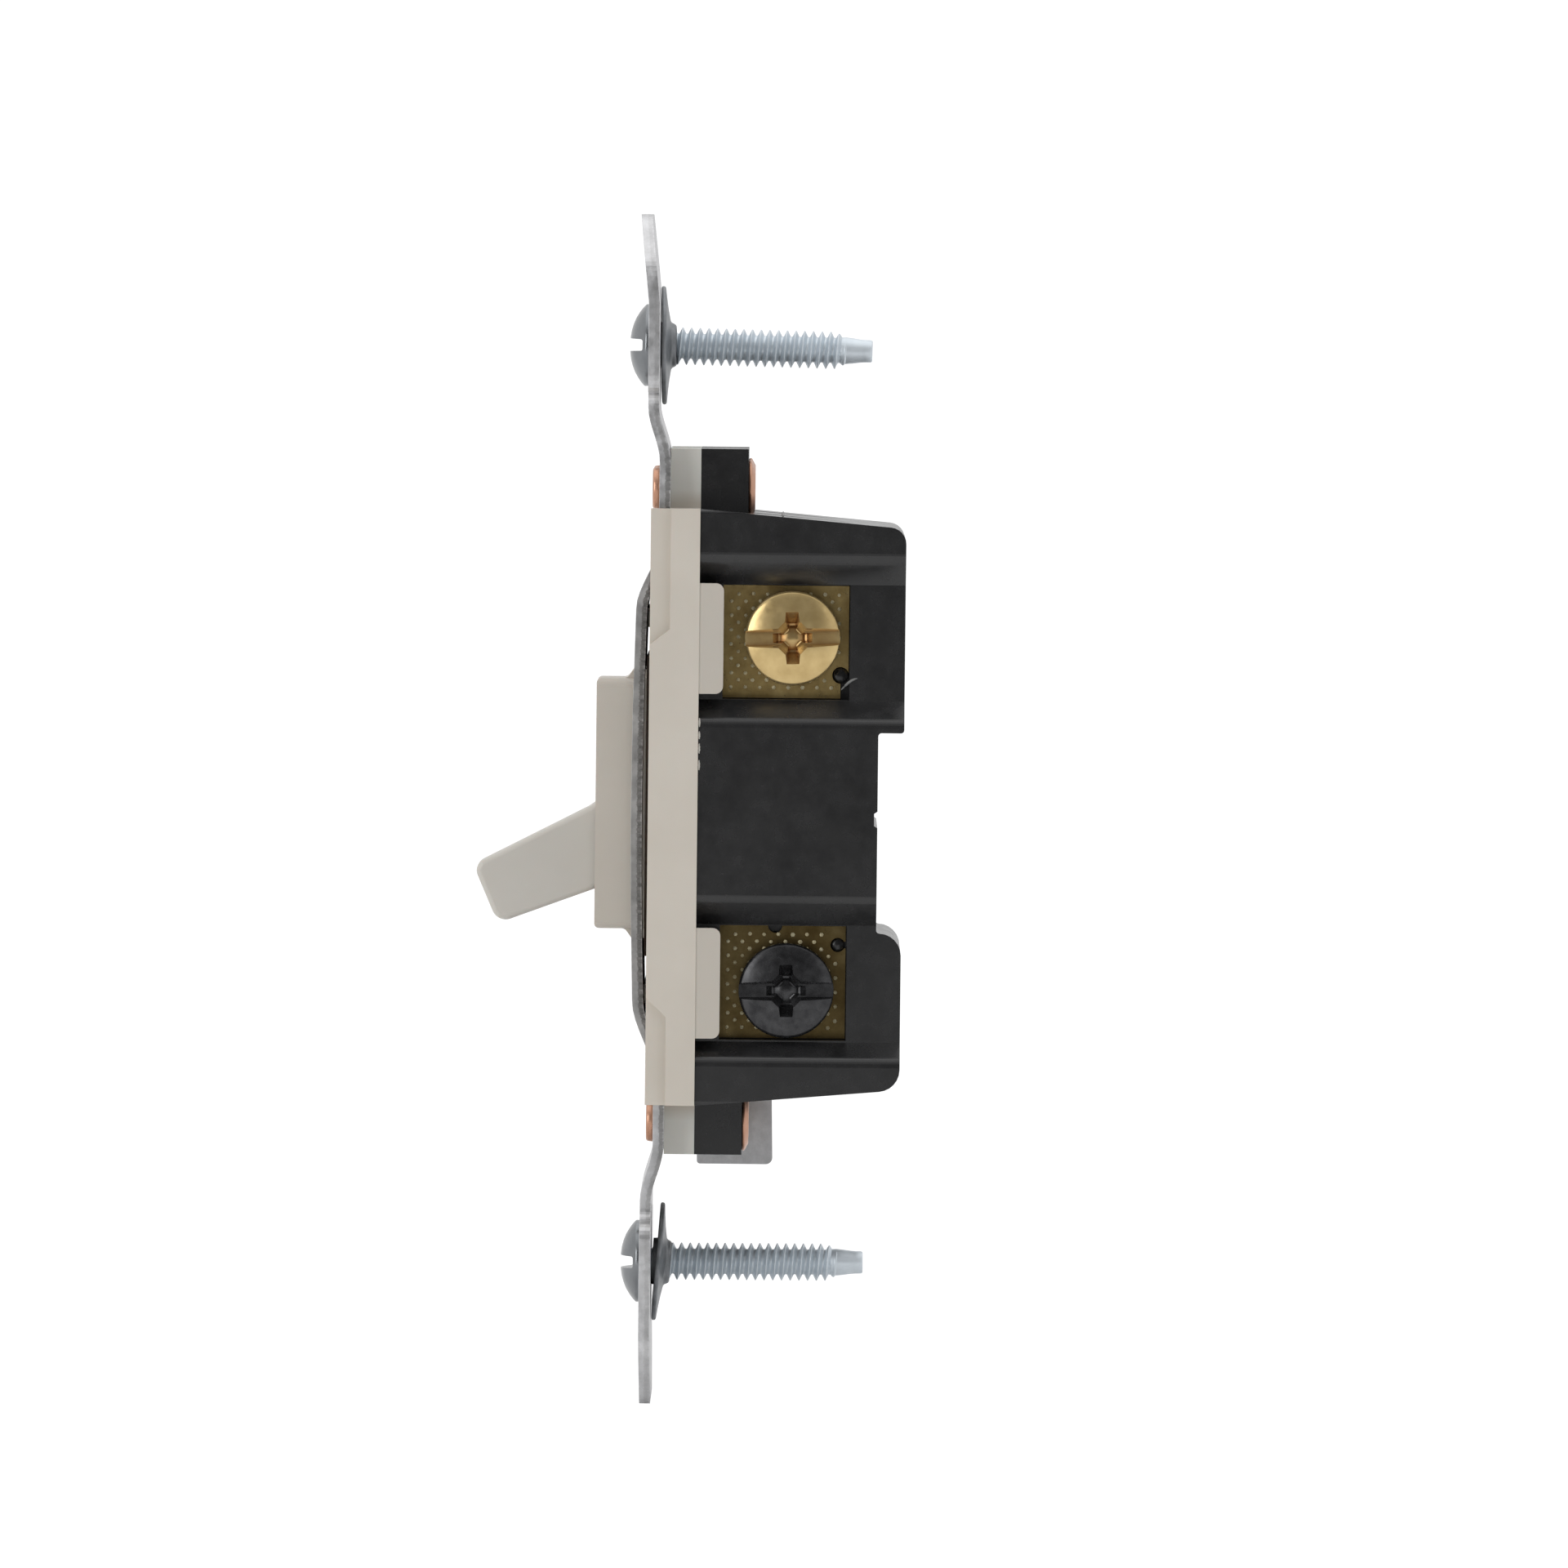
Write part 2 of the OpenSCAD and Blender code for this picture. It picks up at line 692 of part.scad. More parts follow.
module retaining_washer_bottom() {
    retaining_washer(-box_spacing / 2);
}

strap();
front_cover();
insulator_sheet();
rear_housing();
rivets_upper();
rivets_lower();
toggle();
toggle_spring();
contact_rocker();
rocker_pin();
moving_contacts();
common_terminal();
traveler_terminal_right();
traveler_terminal_left();
fixed_contacts();
common_screw();
traveler_screw_right();
traveler_screw_left();
ground_screw();
mount_screw_top();
mount_screw_bottom();
retaining_washer_top();
retaining_washer_bottom();
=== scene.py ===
"""Looks of the toggle wall switch: moulded plastic, stamped metal, real threads and screw heads."""

import json
import math

import bmesh
import bpy
from mathutils import Matrix, Vector, noise


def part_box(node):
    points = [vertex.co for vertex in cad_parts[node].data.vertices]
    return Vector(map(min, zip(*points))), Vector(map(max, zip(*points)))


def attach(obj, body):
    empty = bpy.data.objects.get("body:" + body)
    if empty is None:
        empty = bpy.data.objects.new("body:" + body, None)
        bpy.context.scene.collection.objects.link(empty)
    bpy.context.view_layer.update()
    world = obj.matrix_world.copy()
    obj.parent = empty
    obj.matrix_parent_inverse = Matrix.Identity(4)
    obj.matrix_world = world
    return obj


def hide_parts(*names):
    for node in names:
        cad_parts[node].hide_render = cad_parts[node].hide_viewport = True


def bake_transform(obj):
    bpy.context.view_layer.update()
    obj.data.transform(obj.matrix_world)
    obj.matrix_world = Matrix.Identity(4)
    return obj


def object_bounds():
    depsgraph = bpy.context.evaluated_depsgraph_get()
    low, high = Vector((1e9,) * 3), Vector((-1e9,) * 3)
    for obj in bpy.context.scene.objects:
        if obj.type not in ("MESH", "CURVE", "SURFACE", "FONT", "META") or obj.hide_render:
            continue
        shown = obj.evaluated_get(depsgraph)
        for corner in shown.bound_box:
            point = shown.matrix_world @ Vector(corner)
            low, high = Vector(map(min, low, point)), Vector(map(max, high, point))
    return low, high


MM = 0.001
WHITE = 1.1          # strength of a background that comes out pure white

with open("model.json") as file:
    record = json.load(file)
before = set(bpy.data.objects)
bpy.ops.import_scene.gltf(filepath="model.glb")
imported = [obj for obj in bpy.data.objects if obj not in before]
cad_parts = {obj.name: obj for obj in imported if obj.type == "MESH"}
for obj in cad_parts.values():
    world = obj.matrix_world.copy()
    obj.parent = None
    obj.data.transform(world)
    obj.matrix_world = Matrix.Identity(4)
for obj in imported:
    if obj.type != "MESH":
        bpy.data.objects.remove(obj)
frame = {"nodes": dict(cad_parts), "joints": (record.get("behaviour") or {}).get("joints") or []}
NODES = frame["nodes"]
CAD_BOX = [list(corner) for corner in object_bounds()]


def centre(node):
    low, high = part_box(node)
    return (low + high) / 2


# ---------------------------------------------------------------- materials


class Surface:
    """A procedural material, built from noise in the object's own coordinates."""

    def __init__(self, name):
        self.material = bpy.data.materials.new(name)
        self.material.use_nodes = True
        self.tree = self.material.node_tree
        self.shader = self.tree.nodes["Principled BSDF"]
        self.place = self.add("ShaderNodeTexCoord").outputs["Object"]
        self.height = None

    def add(self, kind, **settings):
        node = self.tree.nodes.new(kind)
        for key, value in settings.items():
            setattr(node, key, value)
        return node

    def link(self, source, target):
        self.tree.links.new(source, target)

    def stretched(self, factors):
        """Object coordinates, stretched for brushed or drawn marks."""
        mapping = self.add("ShaderNodeMapping")
        mapping.inputs["Scale"].default_value = factors
        self.link(self.place, mapping.inputs["Vector"])
        return mapping.outputs["Vector"]

    def noise(self, size, detail=4.0, roughness=0.55, factors=None):
        """Noise whose features measure about size metres."""
        node = self.add("ShaderNodeTexNoise")
        node.inputs["Scale"].default_value = 1 / size
        node.inputs["Detail"].default_value = detail
        node.inputs["Roughness"].default_value = roughness
        self.link(self.stretched(factors) if factors else self.place, node.inputs["Vector"])
        return node.outputs["Fac"]

    def ramp(self, value, stops):
        """Colours along a value, from (position, colour) stops."""
        node = self.add("ShaderNodeValToRGB")
        points = node.color_ramp.elements
        while len(points) < len(stops):
            points.new(0.5)
        for point, (position, colour) in zip(points, stops):
            point.position = position
            point.color = (*colour, 1)
        self.link(value, node.inputs["Fac"])
        return node.outputs["Color"]

    def math(self, operation, first, second=None):
        node = self.add("ShaderNodeMath", operation=operation)
        for socket, value in zip(node.inputs, (first, second)):
            if isinstance(value, float):
                socket.default_value = value
            elif value is not None:
                self.link(value, socket)
        return node.outputs[0]

    def between(self, value, low, high, start=0.3, end=0.7, smooth=False):
        """A value moved from the range start..end to low..high."""
        node = self.add("ShaderNodeMapRange",
                        interpolation_type="SMOOTHSTEP" if smooth else "LINEAR")
        ends = ("From Min", "From Max", "To Min", "To Max")
        for key, number in zip(ends, (start, end, low, high)):
            node.inputs[key].default_value = number
        self.link(value, node.inputs["Value"])
        return node.outputs["Result"]

    def mix(self, value, first, second, mode="MIX"):
        node = self.add("ShaderNodeMix", data_type="RGBA", blend_type=mode)
        if isinstance(value, float):
            node.inputs["Factor"].default_value = value
        else:
            self.link(value, node.inputs["Factor"])
        for socket, colour in ((node.inputs["A"], first), (node.inputs["B"], second)):
            if isinstance(colour, tuple):
                socket.default_value = (*colour, 1)
            else:
                self.link(colour, socket)
        return node.outputs["Result"]

    def axis(self, letter):
        """A coordinate of the object's own space, in metres."""
        parts = self.add("ShaderNodeSeparateXYZ")
        self.link(self.place, parts.inputs[0])
        return parts.outputs[letter]

    def colour(self, socket):
        self.link(socket, self.shader.inputs["Base Color"])

    def roughness(self, socket):
        self.link(socket, self.shader.inputs["Roughness"])

    def bump(self, value, depth, strength=1.0):
        """Raises the surface by depth metres where the value is 1."""
        node = self.add("ShaderNodeBump")
        node.inputs["Distance"].default_value = depth
        node.inputs["Strength"].default_value = strength
        self.link(value, node.inputs["Height"])
        if self.height:
            self.link(self.height, node.inputs["Normal"])
        self.height = node.outputs["Normal"]
        self.link(self.height, self.shader.inputs["Normal"])

    def set(self, **values):
        for key, value in values.items():
            self.shader.inputs[key.replace("_", " ")].default_value = value


def ivory_plastic(name, deep, pale, painted_ear_flap_light=False):
    """Moulded off-white plastic: faint flow marks and a slight orange peel.

    The cover's thin riveting ears are painted paler, a painted highlight, and its flaps are painted
    darker, a painted shade.
    """
    s = Surface(name)
    flow = s.noise(9 * MM, detail=3)
    tone = s.ramp(flow, [(0.3, deep), (0.7, pale)])
    if painted_ear_flap_light:
        # Painted highlight: past |z| 27.4 mm, the riveting ears are painted a paler, more neutral
        # tone.
        ear = s.between(s.math("ABSOLUTE", s.axis("Z")), 0.0, 1.0, 27.4 * MM, 28.6 * MM)
        # Painted shade: past y 3.8 mm, the flaps are painted darker.
        painted_flap_shade = s.between(s.axis("Y"), 0.0, 1.0, 3.8 * MM, 4.2 * MM)
        tone = s.mix(ear, tone, (0.72, 0.71, 0.66))
        tone = s.mix(painted_flap_shade, tone, tuple(0.87 * level for level in pale))
    s.colour(tone)
    s.roughness(s.between(s.noise(2 * MM), 0.36, 0.5))
    s.bump(s.noise(0.9 * MM, detail=2), 0.01 * MM, 0.6)
    s.bump(s.noise(0.12 * MM, detail=2), 0.002 * MM, 0.5)
    s.set(IOR=1.5, Subsurface_Weight=0.06, Subsurface_Scale=0.6 * MM)
    return s.material


def black_plastic(name):
    """Black thermoset: satin and finely speckled, with a faint waviness."""
    s = Surface(name)
    speckle = s.noise(0.22 * MM, detail=5, roughness=0.7)
    haze = s.noise(7 * MM, detail=4)
    base = s.ramp(haze, [(0.35, (0.010, 0.010, 0.0105)), (0.7, (0.016, 0.016, 0.0165))])
    dusty = s.ramp(speckle, [(0.6, (0.0, 0.0, 0.0)), (0.72, (1.0, 1.0, 1.0))])
    s.colour(s.mix(dusty, base, (0.024, 0.024, 0.025)))
    s.roughness(s.between(s.noise(1.6 * MM), 0.2, 0.3))
    s.bump(speckle, 0.002 * MM, 0.5)
    s.bump(s.noise(2.5 * MM, detail=2), 0.008 * MM, 0.5)
    s.set(IOR=1.55)
    return s.material


def strap_depth(s, up):
    """How deep a point lies between the strap's front face, 0, and its rear face, 1.

    It follows the strap's profile: a bowed bridge, a seat, the ears, and the upper ear's lean.
    """
    bow_depth, bow_reach = 0.28, 0.01775
    bow = s.math("MULTIPLY", s.math("MULTIPLY", up, up), bow_depth / bow_reach ** 2 * MM)
    bridge = s.math("MINIMUM", s.math("ADD", bow, -2.18 * MM), -1.9 * MM)
    seat = s.between(up, 0, 2.0 * MM, 17.75 * MM, 24.2 * MM, smooth=True)
    ear = s.between(up, 0, -1.1 * MM, 31.0 * MM, 36.0 * MM, smooth=True)
    lean = s.between(s.axis("Z"), 0, -0.8 * MM, 45.6 * MM, 53.6 * MM)
    front = s.math("ADD", s.math("ADD", bridge, seat), s.math("ADD", ear, lean))
    return s.math("DIVIDE", s.math("SUBTRACT", s.axis("Y"), front), 1.0 * MM)


def galvanised_steel(name):
    """Zinc-coated strap steel: cloudy zinc, rolling marks, and sheared edges.

    A sheared edge is smooth and bright over its front half and torn and dark over the rest.
    """
    s = Surface(name)
    cloud = s.noise(1.6 * MM, detail=6, roughness=0.65)
    stain = s.noise(3.2 * MM, detail=5, roughness=0.7)
    rolled = s.noise(0.35 * MM, detail=3, factors=(1, 1, 0.05))
    torn = s.noise(0.3 * MM, detail=5, roughness=0.7, factors=(1, 0.35, 1))
    zinc = s.ramp(cloud, [(0.32, (0.48, 0.48, 0.485)), (0.5, (0.58, 0.58, 0.59)),
                          (0.68, (0.72, 0.72, 0.73))])
    dull = s.between(stain, 0.0, 0.3, 0.58, 0.78)
    zinc = s.mix(dull, zinc, (0.26, 0.255, 0.25))
    up = s.math("ABSOLUTE", s.axis("Z"))
    # Painted shade: the strap is painted darker towards its middle, fully within |z| 14 mm, fading
    # out by 34 mm.
    painted_middle_shade = s.between(up, 1.0, 0.0, 14 * MM, 34 * MM)
    zinc = s.mix(painted_middle_shade, zinc, s.mix(1.0, zinc, (0.66, 0.65, 0.63), "MULTIPLY"))
    depth = s.math("ADD", strap_depth(s, up), s.between(torn, -0.12, 0.12))
    tear = s.ramp(depth, [(0.0, (0.0, 0.0, 0.0)), (0.50, (0.0, 0.0, 0.0)), (0.60, (1.0, 1.0, 1.0)),
                          (0.92, (1.0, 1.0, 1.0)), (0.99, (0.0, 0.0, 0.0))])
    # The torn zone is the sheared edge's own colour; fading it out towards the strap's ends, from
    # |z| 24 mm, paints the ends lighter, a painted highlight.
    tear = s.math("MULTIPLY", tear, s.between(up, 1.0, 0.2, 24 * MM, 38 * MM))
    torn_steel = s.ramp(torn, [(0.35, (0.13, 0.125, 0.12)), (0.7, (0.30, 0.29, 0.28))])
    s.colour(s.mix(tear, zinc, torn_steel))
    s.roughness(s.between(cloud, 0.30, 0.5))
    s.bump(rolled, 0.006 * MM, 0.5)
    s.bump(cloud, 0.012 * MM, 0.5)
    s.bump(torn, 0.02 * MM, 0.4)
    s.set(Metallic=0.9)
    return s.material


def drawn_metal(name, dark, light, rough=(0.2, 0.36), grain=0.25 * MM, metallic=1.0, mark=0.5):
    """Plated or drawn metal: slight tone changes and fine marks."""
    s = Surface(name)
    tone = s.noise(1.4 * MM, detail=5, roughness=0.6)
    s.colour(s.ramp(tone, [(0.32, dark), (0.68, light)]))
    s.roughness(s.between(s.noise(0.6 * MM, detail=5), *rough))
    s.bump(s.noise(grain, detail=4), 0.004 * MM, mark)
    s.set(Metallic=metallic)
    return s.material


def zinc_screw(name):
    """Blue-white zinc plating: a dull, paler thread and a darker, glossier head."""
    s = Surface(name)
    thread = s.between(s.axis("Y"), 0.0, 1.0, -1.2 * MM, -0.8 * MM)
    tone = s.noise(1.8 * MM, detail=3)
    s.colour(s.mix(thread, s.ramp(tone, [(0.3, (0.20, 0.21, 0.22)), (0.7, (0.25, 0.26, 0.27))]),
                   s.ramp(tone, [(0.3, (0.62, 0.68, 0.73)), (0.7, (0.72, 0.78, 0.83))])))
    s.roughness(s.between(thread, 0.24, 0.42, 0.0, 1.0))
    s.link(s.between(thread, 1.0, 0.5, 0.0, 1.0), s.shader.inputs["Metallic"])
    s.bump(s.noise(0.25 * MM), 0.002 * MM, 0.3)
    return s.material


def stamped_brass(name, share=1.0):
    """Brass strip: olive patches, rolling marks. Tarnish leaves a share of its brightness."""
    s = Surface(name)
    patch = s.noise(2.6 * MM, detail=5, roughness=0.62)
    tones = ((0.22, 0.15, 0.055), (0.34, 0.25, 0.105), (0.46, 0.35, 0.16))
    s.colour(s.ramp(patch, [(at, tuple(share * level for level in tone))
                            for at, tone in zip((0.3, 0.55, 0.75), tones)]))
    s.roughness(s.between(s.noise(0.8 * MM), 0.26, 0.42))
    s.bump(s.noise(0.2 * MM, detail=3, factors=(1, 0.08, 1)), 0.005 * MM, 0.6)
    s.set(Metallic=1.0)
    return s.material


def yellow_plated(name):
    """Brass plating on a screw head, with painted shade browning its slot and cross recess."""
    s = Surface(name)
    tone = s.noise(1.4 * MM, detail=5)
    hidden = s.add("ShaderNodeAmbientOcclusion")
    hidden.inputs["Distance"].default_value = 1.1 * MM
    # Painted shade: the plating is mixed towards dark brown where ambient occlusion finds the slot
    # and the cross recess.
    painted_recess_shade = s.between(hidden.outputs["AO"], 1.0, 0.0, 0.45, 0.95)
    plating = s.ramp(tone, [(0.32, (0.54, 0.39, 0.17)), (0.68, (0.68, 0.51, 0.24))])
    s.colour(s.mix(painted_recess_shade, plating, (0.30, 0.14, 0.04)))
    s.roughness(s.between(s.noise(0.6 * MM, detail=5), 0.16, 0.27))
    s.bump(s.noise(0.25 * MM), 0.004 * MM, 0.4)
    s.set(Metallic=0.72)
    return s.material


def painted_metal(name, dark, light):
    """Black oxide or dyed plating: dark, slightly uneven, with a soft gloss."""
    s = Surface(name)
    tone = s.noise(1.1 * MM, detail=5)
    s.colour(s.ramp(tone, [(0.35, dark), (0.7, light)]))
    s.roughness(s.between(s.noise(0.5 * MM, detail=4), 0.2, 0.3))
    s.bump(s.noise(0.18 * MM, detail=4), 0.002 * MM, 0.5)
    s.set(Metallic=0.75)
    return s.material


def fibre_sheet(name, dark, light):
    """Pressed fibre: matt, with short fibres lying in all directions."""
    s = Surface(name)
    fibres = s.noise(0.25 * MM, detail=6, roughness=0.75, factors=(1, 1, 0.3))
    s.colour(s.ramp(fibres, [(0.35, dark), (0.7, light)]))
    s.roughness(s.between(fibres, 0.55, 0.8))
    s.bump(fibres, 0.02 * MM, 0.5)
    return s.material


# Painted highlight: moulding flash on the black housing made light grey, for the sheen on the curl
# and top ridge.
PAINTED_SHEEN = drawn_metal("painted_sheen_plastic", (0.10, 0.10, 0.10), (0.22, 0.22, 0.215), (0.35, 0.5),
                      metallic=0.0)
IVORY = ivory_plastic("ivory_plastic", (0.555, 0.511, 0.447), (0.59, 0.545, 0.481),
                      painted_ear_flap_light=True)
LEVER = ivory_plastic("ivory_lever", (0.53, 0.505, 0.46), (0.555, 0.53, 0.485))
BLACK = black_plastic("black_plastic")
ZINC_STRAP = galvanised_steel("galvanised_steel")
ZINC_SCREW = zinc_screw("zinc_screw")
COPPER = drawn_metal("copper", (0.50, 0.27, 0.18), (0.57, 0.32, 0.22), (0.26, 0.34), mark=0.15)
BRASS = stamped_brass("stamped_brass", 1.1)
DULL_BRASS = stamped_brass("tarnished_brass", 0.42)
# Painted highlight: the knurl's points, brass like their plate, made pale yellow and barely
# metallic to shine.
PAINTED_GLINT_BRASS = drawn_metal("knurl_painted_glint", (0.88, 0.76, 0.46), (0.98, 0.90, 0.62), (0.3, 0.45),
                    metallic=0.2)
BRIGHT_BRASS = yellow_plated("brass_screw")
BLACK_OXIDE = painted_metal("black_oxide", (0.03, 0.03, 0.032), (0.07, 0.07, 0.073))
GREEN = painted_metal("green_screw", (0.015, 0.13, 0.05), (0.03, 0.22, 0.09))
SPRING = drawn_metal("spring_steel", (0.42, 0.42, 0.43), (0.60, 0.60, 0.61))
SILVER = drawn_metal("silver_contact", (0.68, 0.68, 0.66), (0.86, 0.86, 0.84))
FIBRE = fibre_sheet("brown_fibre", (0.035, 0.020, 0.012), (0.085, 0.048, 0.028))
WASHER = drawn_metal("grey_washer", (0.17, 0.18, 0.19), (0.28, 0.29, 0.305), (0.36, 0.5),
                     metallic=0.55)


def dress(obj, material):
    obj.data.materials.clear()
    obj.data.materials.append(material)
    for face in obj.data.polygons:
        face.material_index = 0


# ---------------------------------------------------------------- mesh tools


def mesh_piece(name, points, faces, material, smooth=True):
    """A new object from points in millimetres."""
    mesh = bpy.data.meshes.new(name)
    mesh.from_pydata([Vector(p) * MM for p in points], [], faces)
    mesh.materials.append(material)
    for face in mesh.polygons:
        face.use_smooth = smooth
    obj = bpy.data.objects.new(name, mesh)
    bpy.context.scene.collection.objects.link(obj)
    clean = bmesh.new()
    clean.from_mesh(mesh)
    bmesh.ops.remove_doubles(clean, verts=clean.verts, dist=1e-7)
    bmesh.ops.recalc_face_normals(clean, faces=clean.faces)
    clean.to_mesh(mesh)
    clean.free()
    return obj


def apply_modifiers(obj):
    """Turns the modified shape into the object's own mesh."""
    graph = bpy.context.evaluated_depsgraph_get()
    made = bpy.data.meshes.new_from_object(obj.evaluated_get(graph), depsgraph=graph)
    old, obj.data = obj.data, made
    obj.modifiers.clear()
    bpy.data.meshes.remove(old)


def carve(obj, cutter):
    """Cuts one closed mesh out of another."""
    cut = obj.modifiers.new("cut", "BOOLEAN")
    cut.operation = "DIFFERENCE"
    cut.solver = "EXACT"
    cut.object = cutter
    apply_modifiers(obj)
    bpy.data.objects.remove(cutter)


def round_edges(obj, width, angle=35, segments=3, weld=False):
    """Rounds the sharp edges; a CAD mesh is welded and its flat faces joined first.

    Known fault: front_cover comes out of this with stray faces across its slot, and neither it
    nor rear_housing is visibly rounded. Joining the flat faces is suspected, not proven.
    """
    if weld:
        obj.modifiers.new("weld", "WELD").merge_threshold = 1e-6
        flat = obj.modifiers.new("flat", "DECIMATE")
        flat.decimate_type = "DISSOLVE"
        flat.angle_limit = math.radians(0.5)
    bevel = obj.modifiers.new("edges", "BEVEL")
    bevel.width = width
    bevel.segments = segments
    bevel.limit_method = "ANGLE"
    bevel.angle_limit = math.radians(angle)
    bevel.use_clamp_overlap = True
    bevel.harden_normals = True
    bevel.miter_outer = "MITER_ARC"


def rounded(outline, steps=8):
    """An outline through (a, b, radius) corners, with true arcs."""
    points = []
    for i, (a, b, radius) in enumerate(outline):
        here = Vector((a, b))
        before = (Vector(outline[i - 1][:2]) - here).normalized()
        after = (Vector(outline[(i + 1) % len(outline)][:2]) - here).normalized()
        if not radius:
            points.append((a, b))
            continue
        half = before.angle(after) / 2
        middle = here + (before + after).normalized() * radius / math.sin(half)
        start = here + before * radius / math.tan(half) - middle
        end = here + after * radius / math.tan(half) - middle
        sweep = math.atan2(start.x * end.y - start.y * end.x, start.dot(end))
        for k in range(steps + 1):
            t = sweep * k / steps
            points.append((middle.x + start.x * math.cos(t) - start.y * math.sin(t),
                           middle.y + start.x * math.sin(t) + start.y * math.cos(t)))
    return points


def lathe(name, profile, material, steps=72):
    """A solid of revolution round +Y from (radius, y) points; it starts and ends on the axis."""
    points, faces = [], []
    for radius, y in profile:
        for k in range(steps):
            turn = math.tau * k / steps
            points.append((radius * math.cos(turn), y, radius * math.sin(turn)))
    for i in range(len(profile) - 1):
        for k in range(steps):
            n = (k + 1) % steps
            faces.append((i * steps + k, i * steps + n, (i + 1) * steps + n, (i + 1) * steps + k))
    return mesh_piece(name, points, faces, material)


def prism_x(name, outline, x0, x1, material=None):
    """A closed (y, z) outline pulled along X."""
    n = len(outline)
    points = [(x0, y, z) for y, z in outline] + [(x1, y, z) for y, z in outline]
    sides = [(i, (i + 1) % n, n + (i + 1) % n, n + i) for i in range(n)]
    caps = [tuple(range(n)), tuple(range(2 * n - 1, n - 1, -1))]
    return mesh_piece(name, points, sides + caps, material or BLACK, smooth=False)


def wedge(top, bottom, depth, length):
    """Cutter along X: a trench whose width goes from top, at z 0, to bottom, at z -depth."""
    reach = 1.0
    slope = (top - bottom) / 2 / depth
    wide = top / 2 + slope * reach
    outline = [(-bottom / 2, -depth), (bottom / 2, -depth), (wide, reach), (-wide, reach)]
    return prism_x("trench", outline, -length / 2, length / 2)


def place(obj, matrix):
    """Moves a piece by changing its mesh, so that the object stays at the origin."""
    obj.data.transform(matrix)


def stand_for(obj, node, body):
    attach(obj, body)
    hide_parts(node)


# ---------------------------------------------------------------- CAD nodes that keep their shape

CAD_LOOKS = {
    "strap": (ZINC_STRAP, 0.12),
    "front_cover": (IVORY, 0.3),
    "insulator_sheet": (FIBRE, 0.0),
    "rear_housing": (BLACK, 0.4),
    "rivets_upper": (COPPER, 0.12),
    "rivets_lower": (COPPER, 0.12),
    "contact_rocker": (BRASS, 0.1),
    "rocker_pin": (SPRING, 0.1),
    "moving_contacts": (SILVER, 0.15),
    "common_terminal": (DULL_BRASS, 0.0),
    "traveler_terminal_right": (BRASS, 0.0),
    "traveler_terminal_left": (BRASS, 0.0),
    "fixed_contacts": (SILVER, 0.15),
    "ground_screw": (GREEN, 0.2),
}

for node, (material, rounding) in CAD_LOOKS.items():
    dress(NODES[node], material)
    if rounding:
        round_edges(NODES[node], rounding * MM, weld=True)


# ---------------------------------------------------------------- screws

PITCH = 25.4 / 32       # of a 6-32 thread
SCREW_SEAT = -1.0       # y of the strap's front face, under a mounting screw's head
TERMINAL_SEAT = 13.2    # distance of a terminal screw's seat from the middle, along x


def thread_radius(y, turn, start, end, root, crest):
    """Radius of a 60-degree thread, fading in and out over one pitch at its ends."""
    phase = (y / PITCH - turn / math.tau) % 1.0
    ridge = max(0.0, min(1.0, 1.12 - abs(phase - 0.5) * 3.0))
    fade = max(0.0, min(1.0, (y - start) / PITCH, (end - y) / (1.5 * PITCH)))
    return root + (crest - root) * ridge * fade


def threaded_rod(name, start, end, root, crest, material, steps=48, rings=18):
    """A rod along +Y whose surface is one helical thread."""
    count = int((end - start) / PITCH * rings)
    points, faces = [(0, start, 0)], []
    for i in range(count + 1):
        y = start + (end - start) * i / count
        for k in range(steps):
            turn = math.tau * k / steps
            r = thread_radius(y, turn, start, end, root, crest)
            points.append((r * math.cos(turn), y, r * math.sin(turn)))
    for i in range(count):
        for k in range(steps):
            a, b = 1 + i * steps + k, 1 + i * steps + (k + 1) % steps
            faces.append((a, b, b + steps, a + steps))
    last = len(points)
    points.append((0, end, 0))
    for k in range(steps):
        n = (k + 1) % steps
        faces.append((0, 1 + n, 1 + k))
        faces.append((last, 1 + count * steps + k, 1 + count * steps + n))
    return mesh_piece(name, points, faces, material)


def join(parts, name):
    """Several meshes as one object."""
    merged = bmesh.new()
    for part in parts:
        merged.from_mesh(part.data)
    mesh = bpy.data.meshes.new(name)
    merged.to_mesh(mesh)
    merged.free()
    mesh.materials.append(parts[0].data.materials[0])
    for part in parts:
        bpy.data.objects.remove(part)
    obj = bpy.data.objects.new(name, mesh)
    bpy.context.scene.collection.objects.link(obj)
    return obj


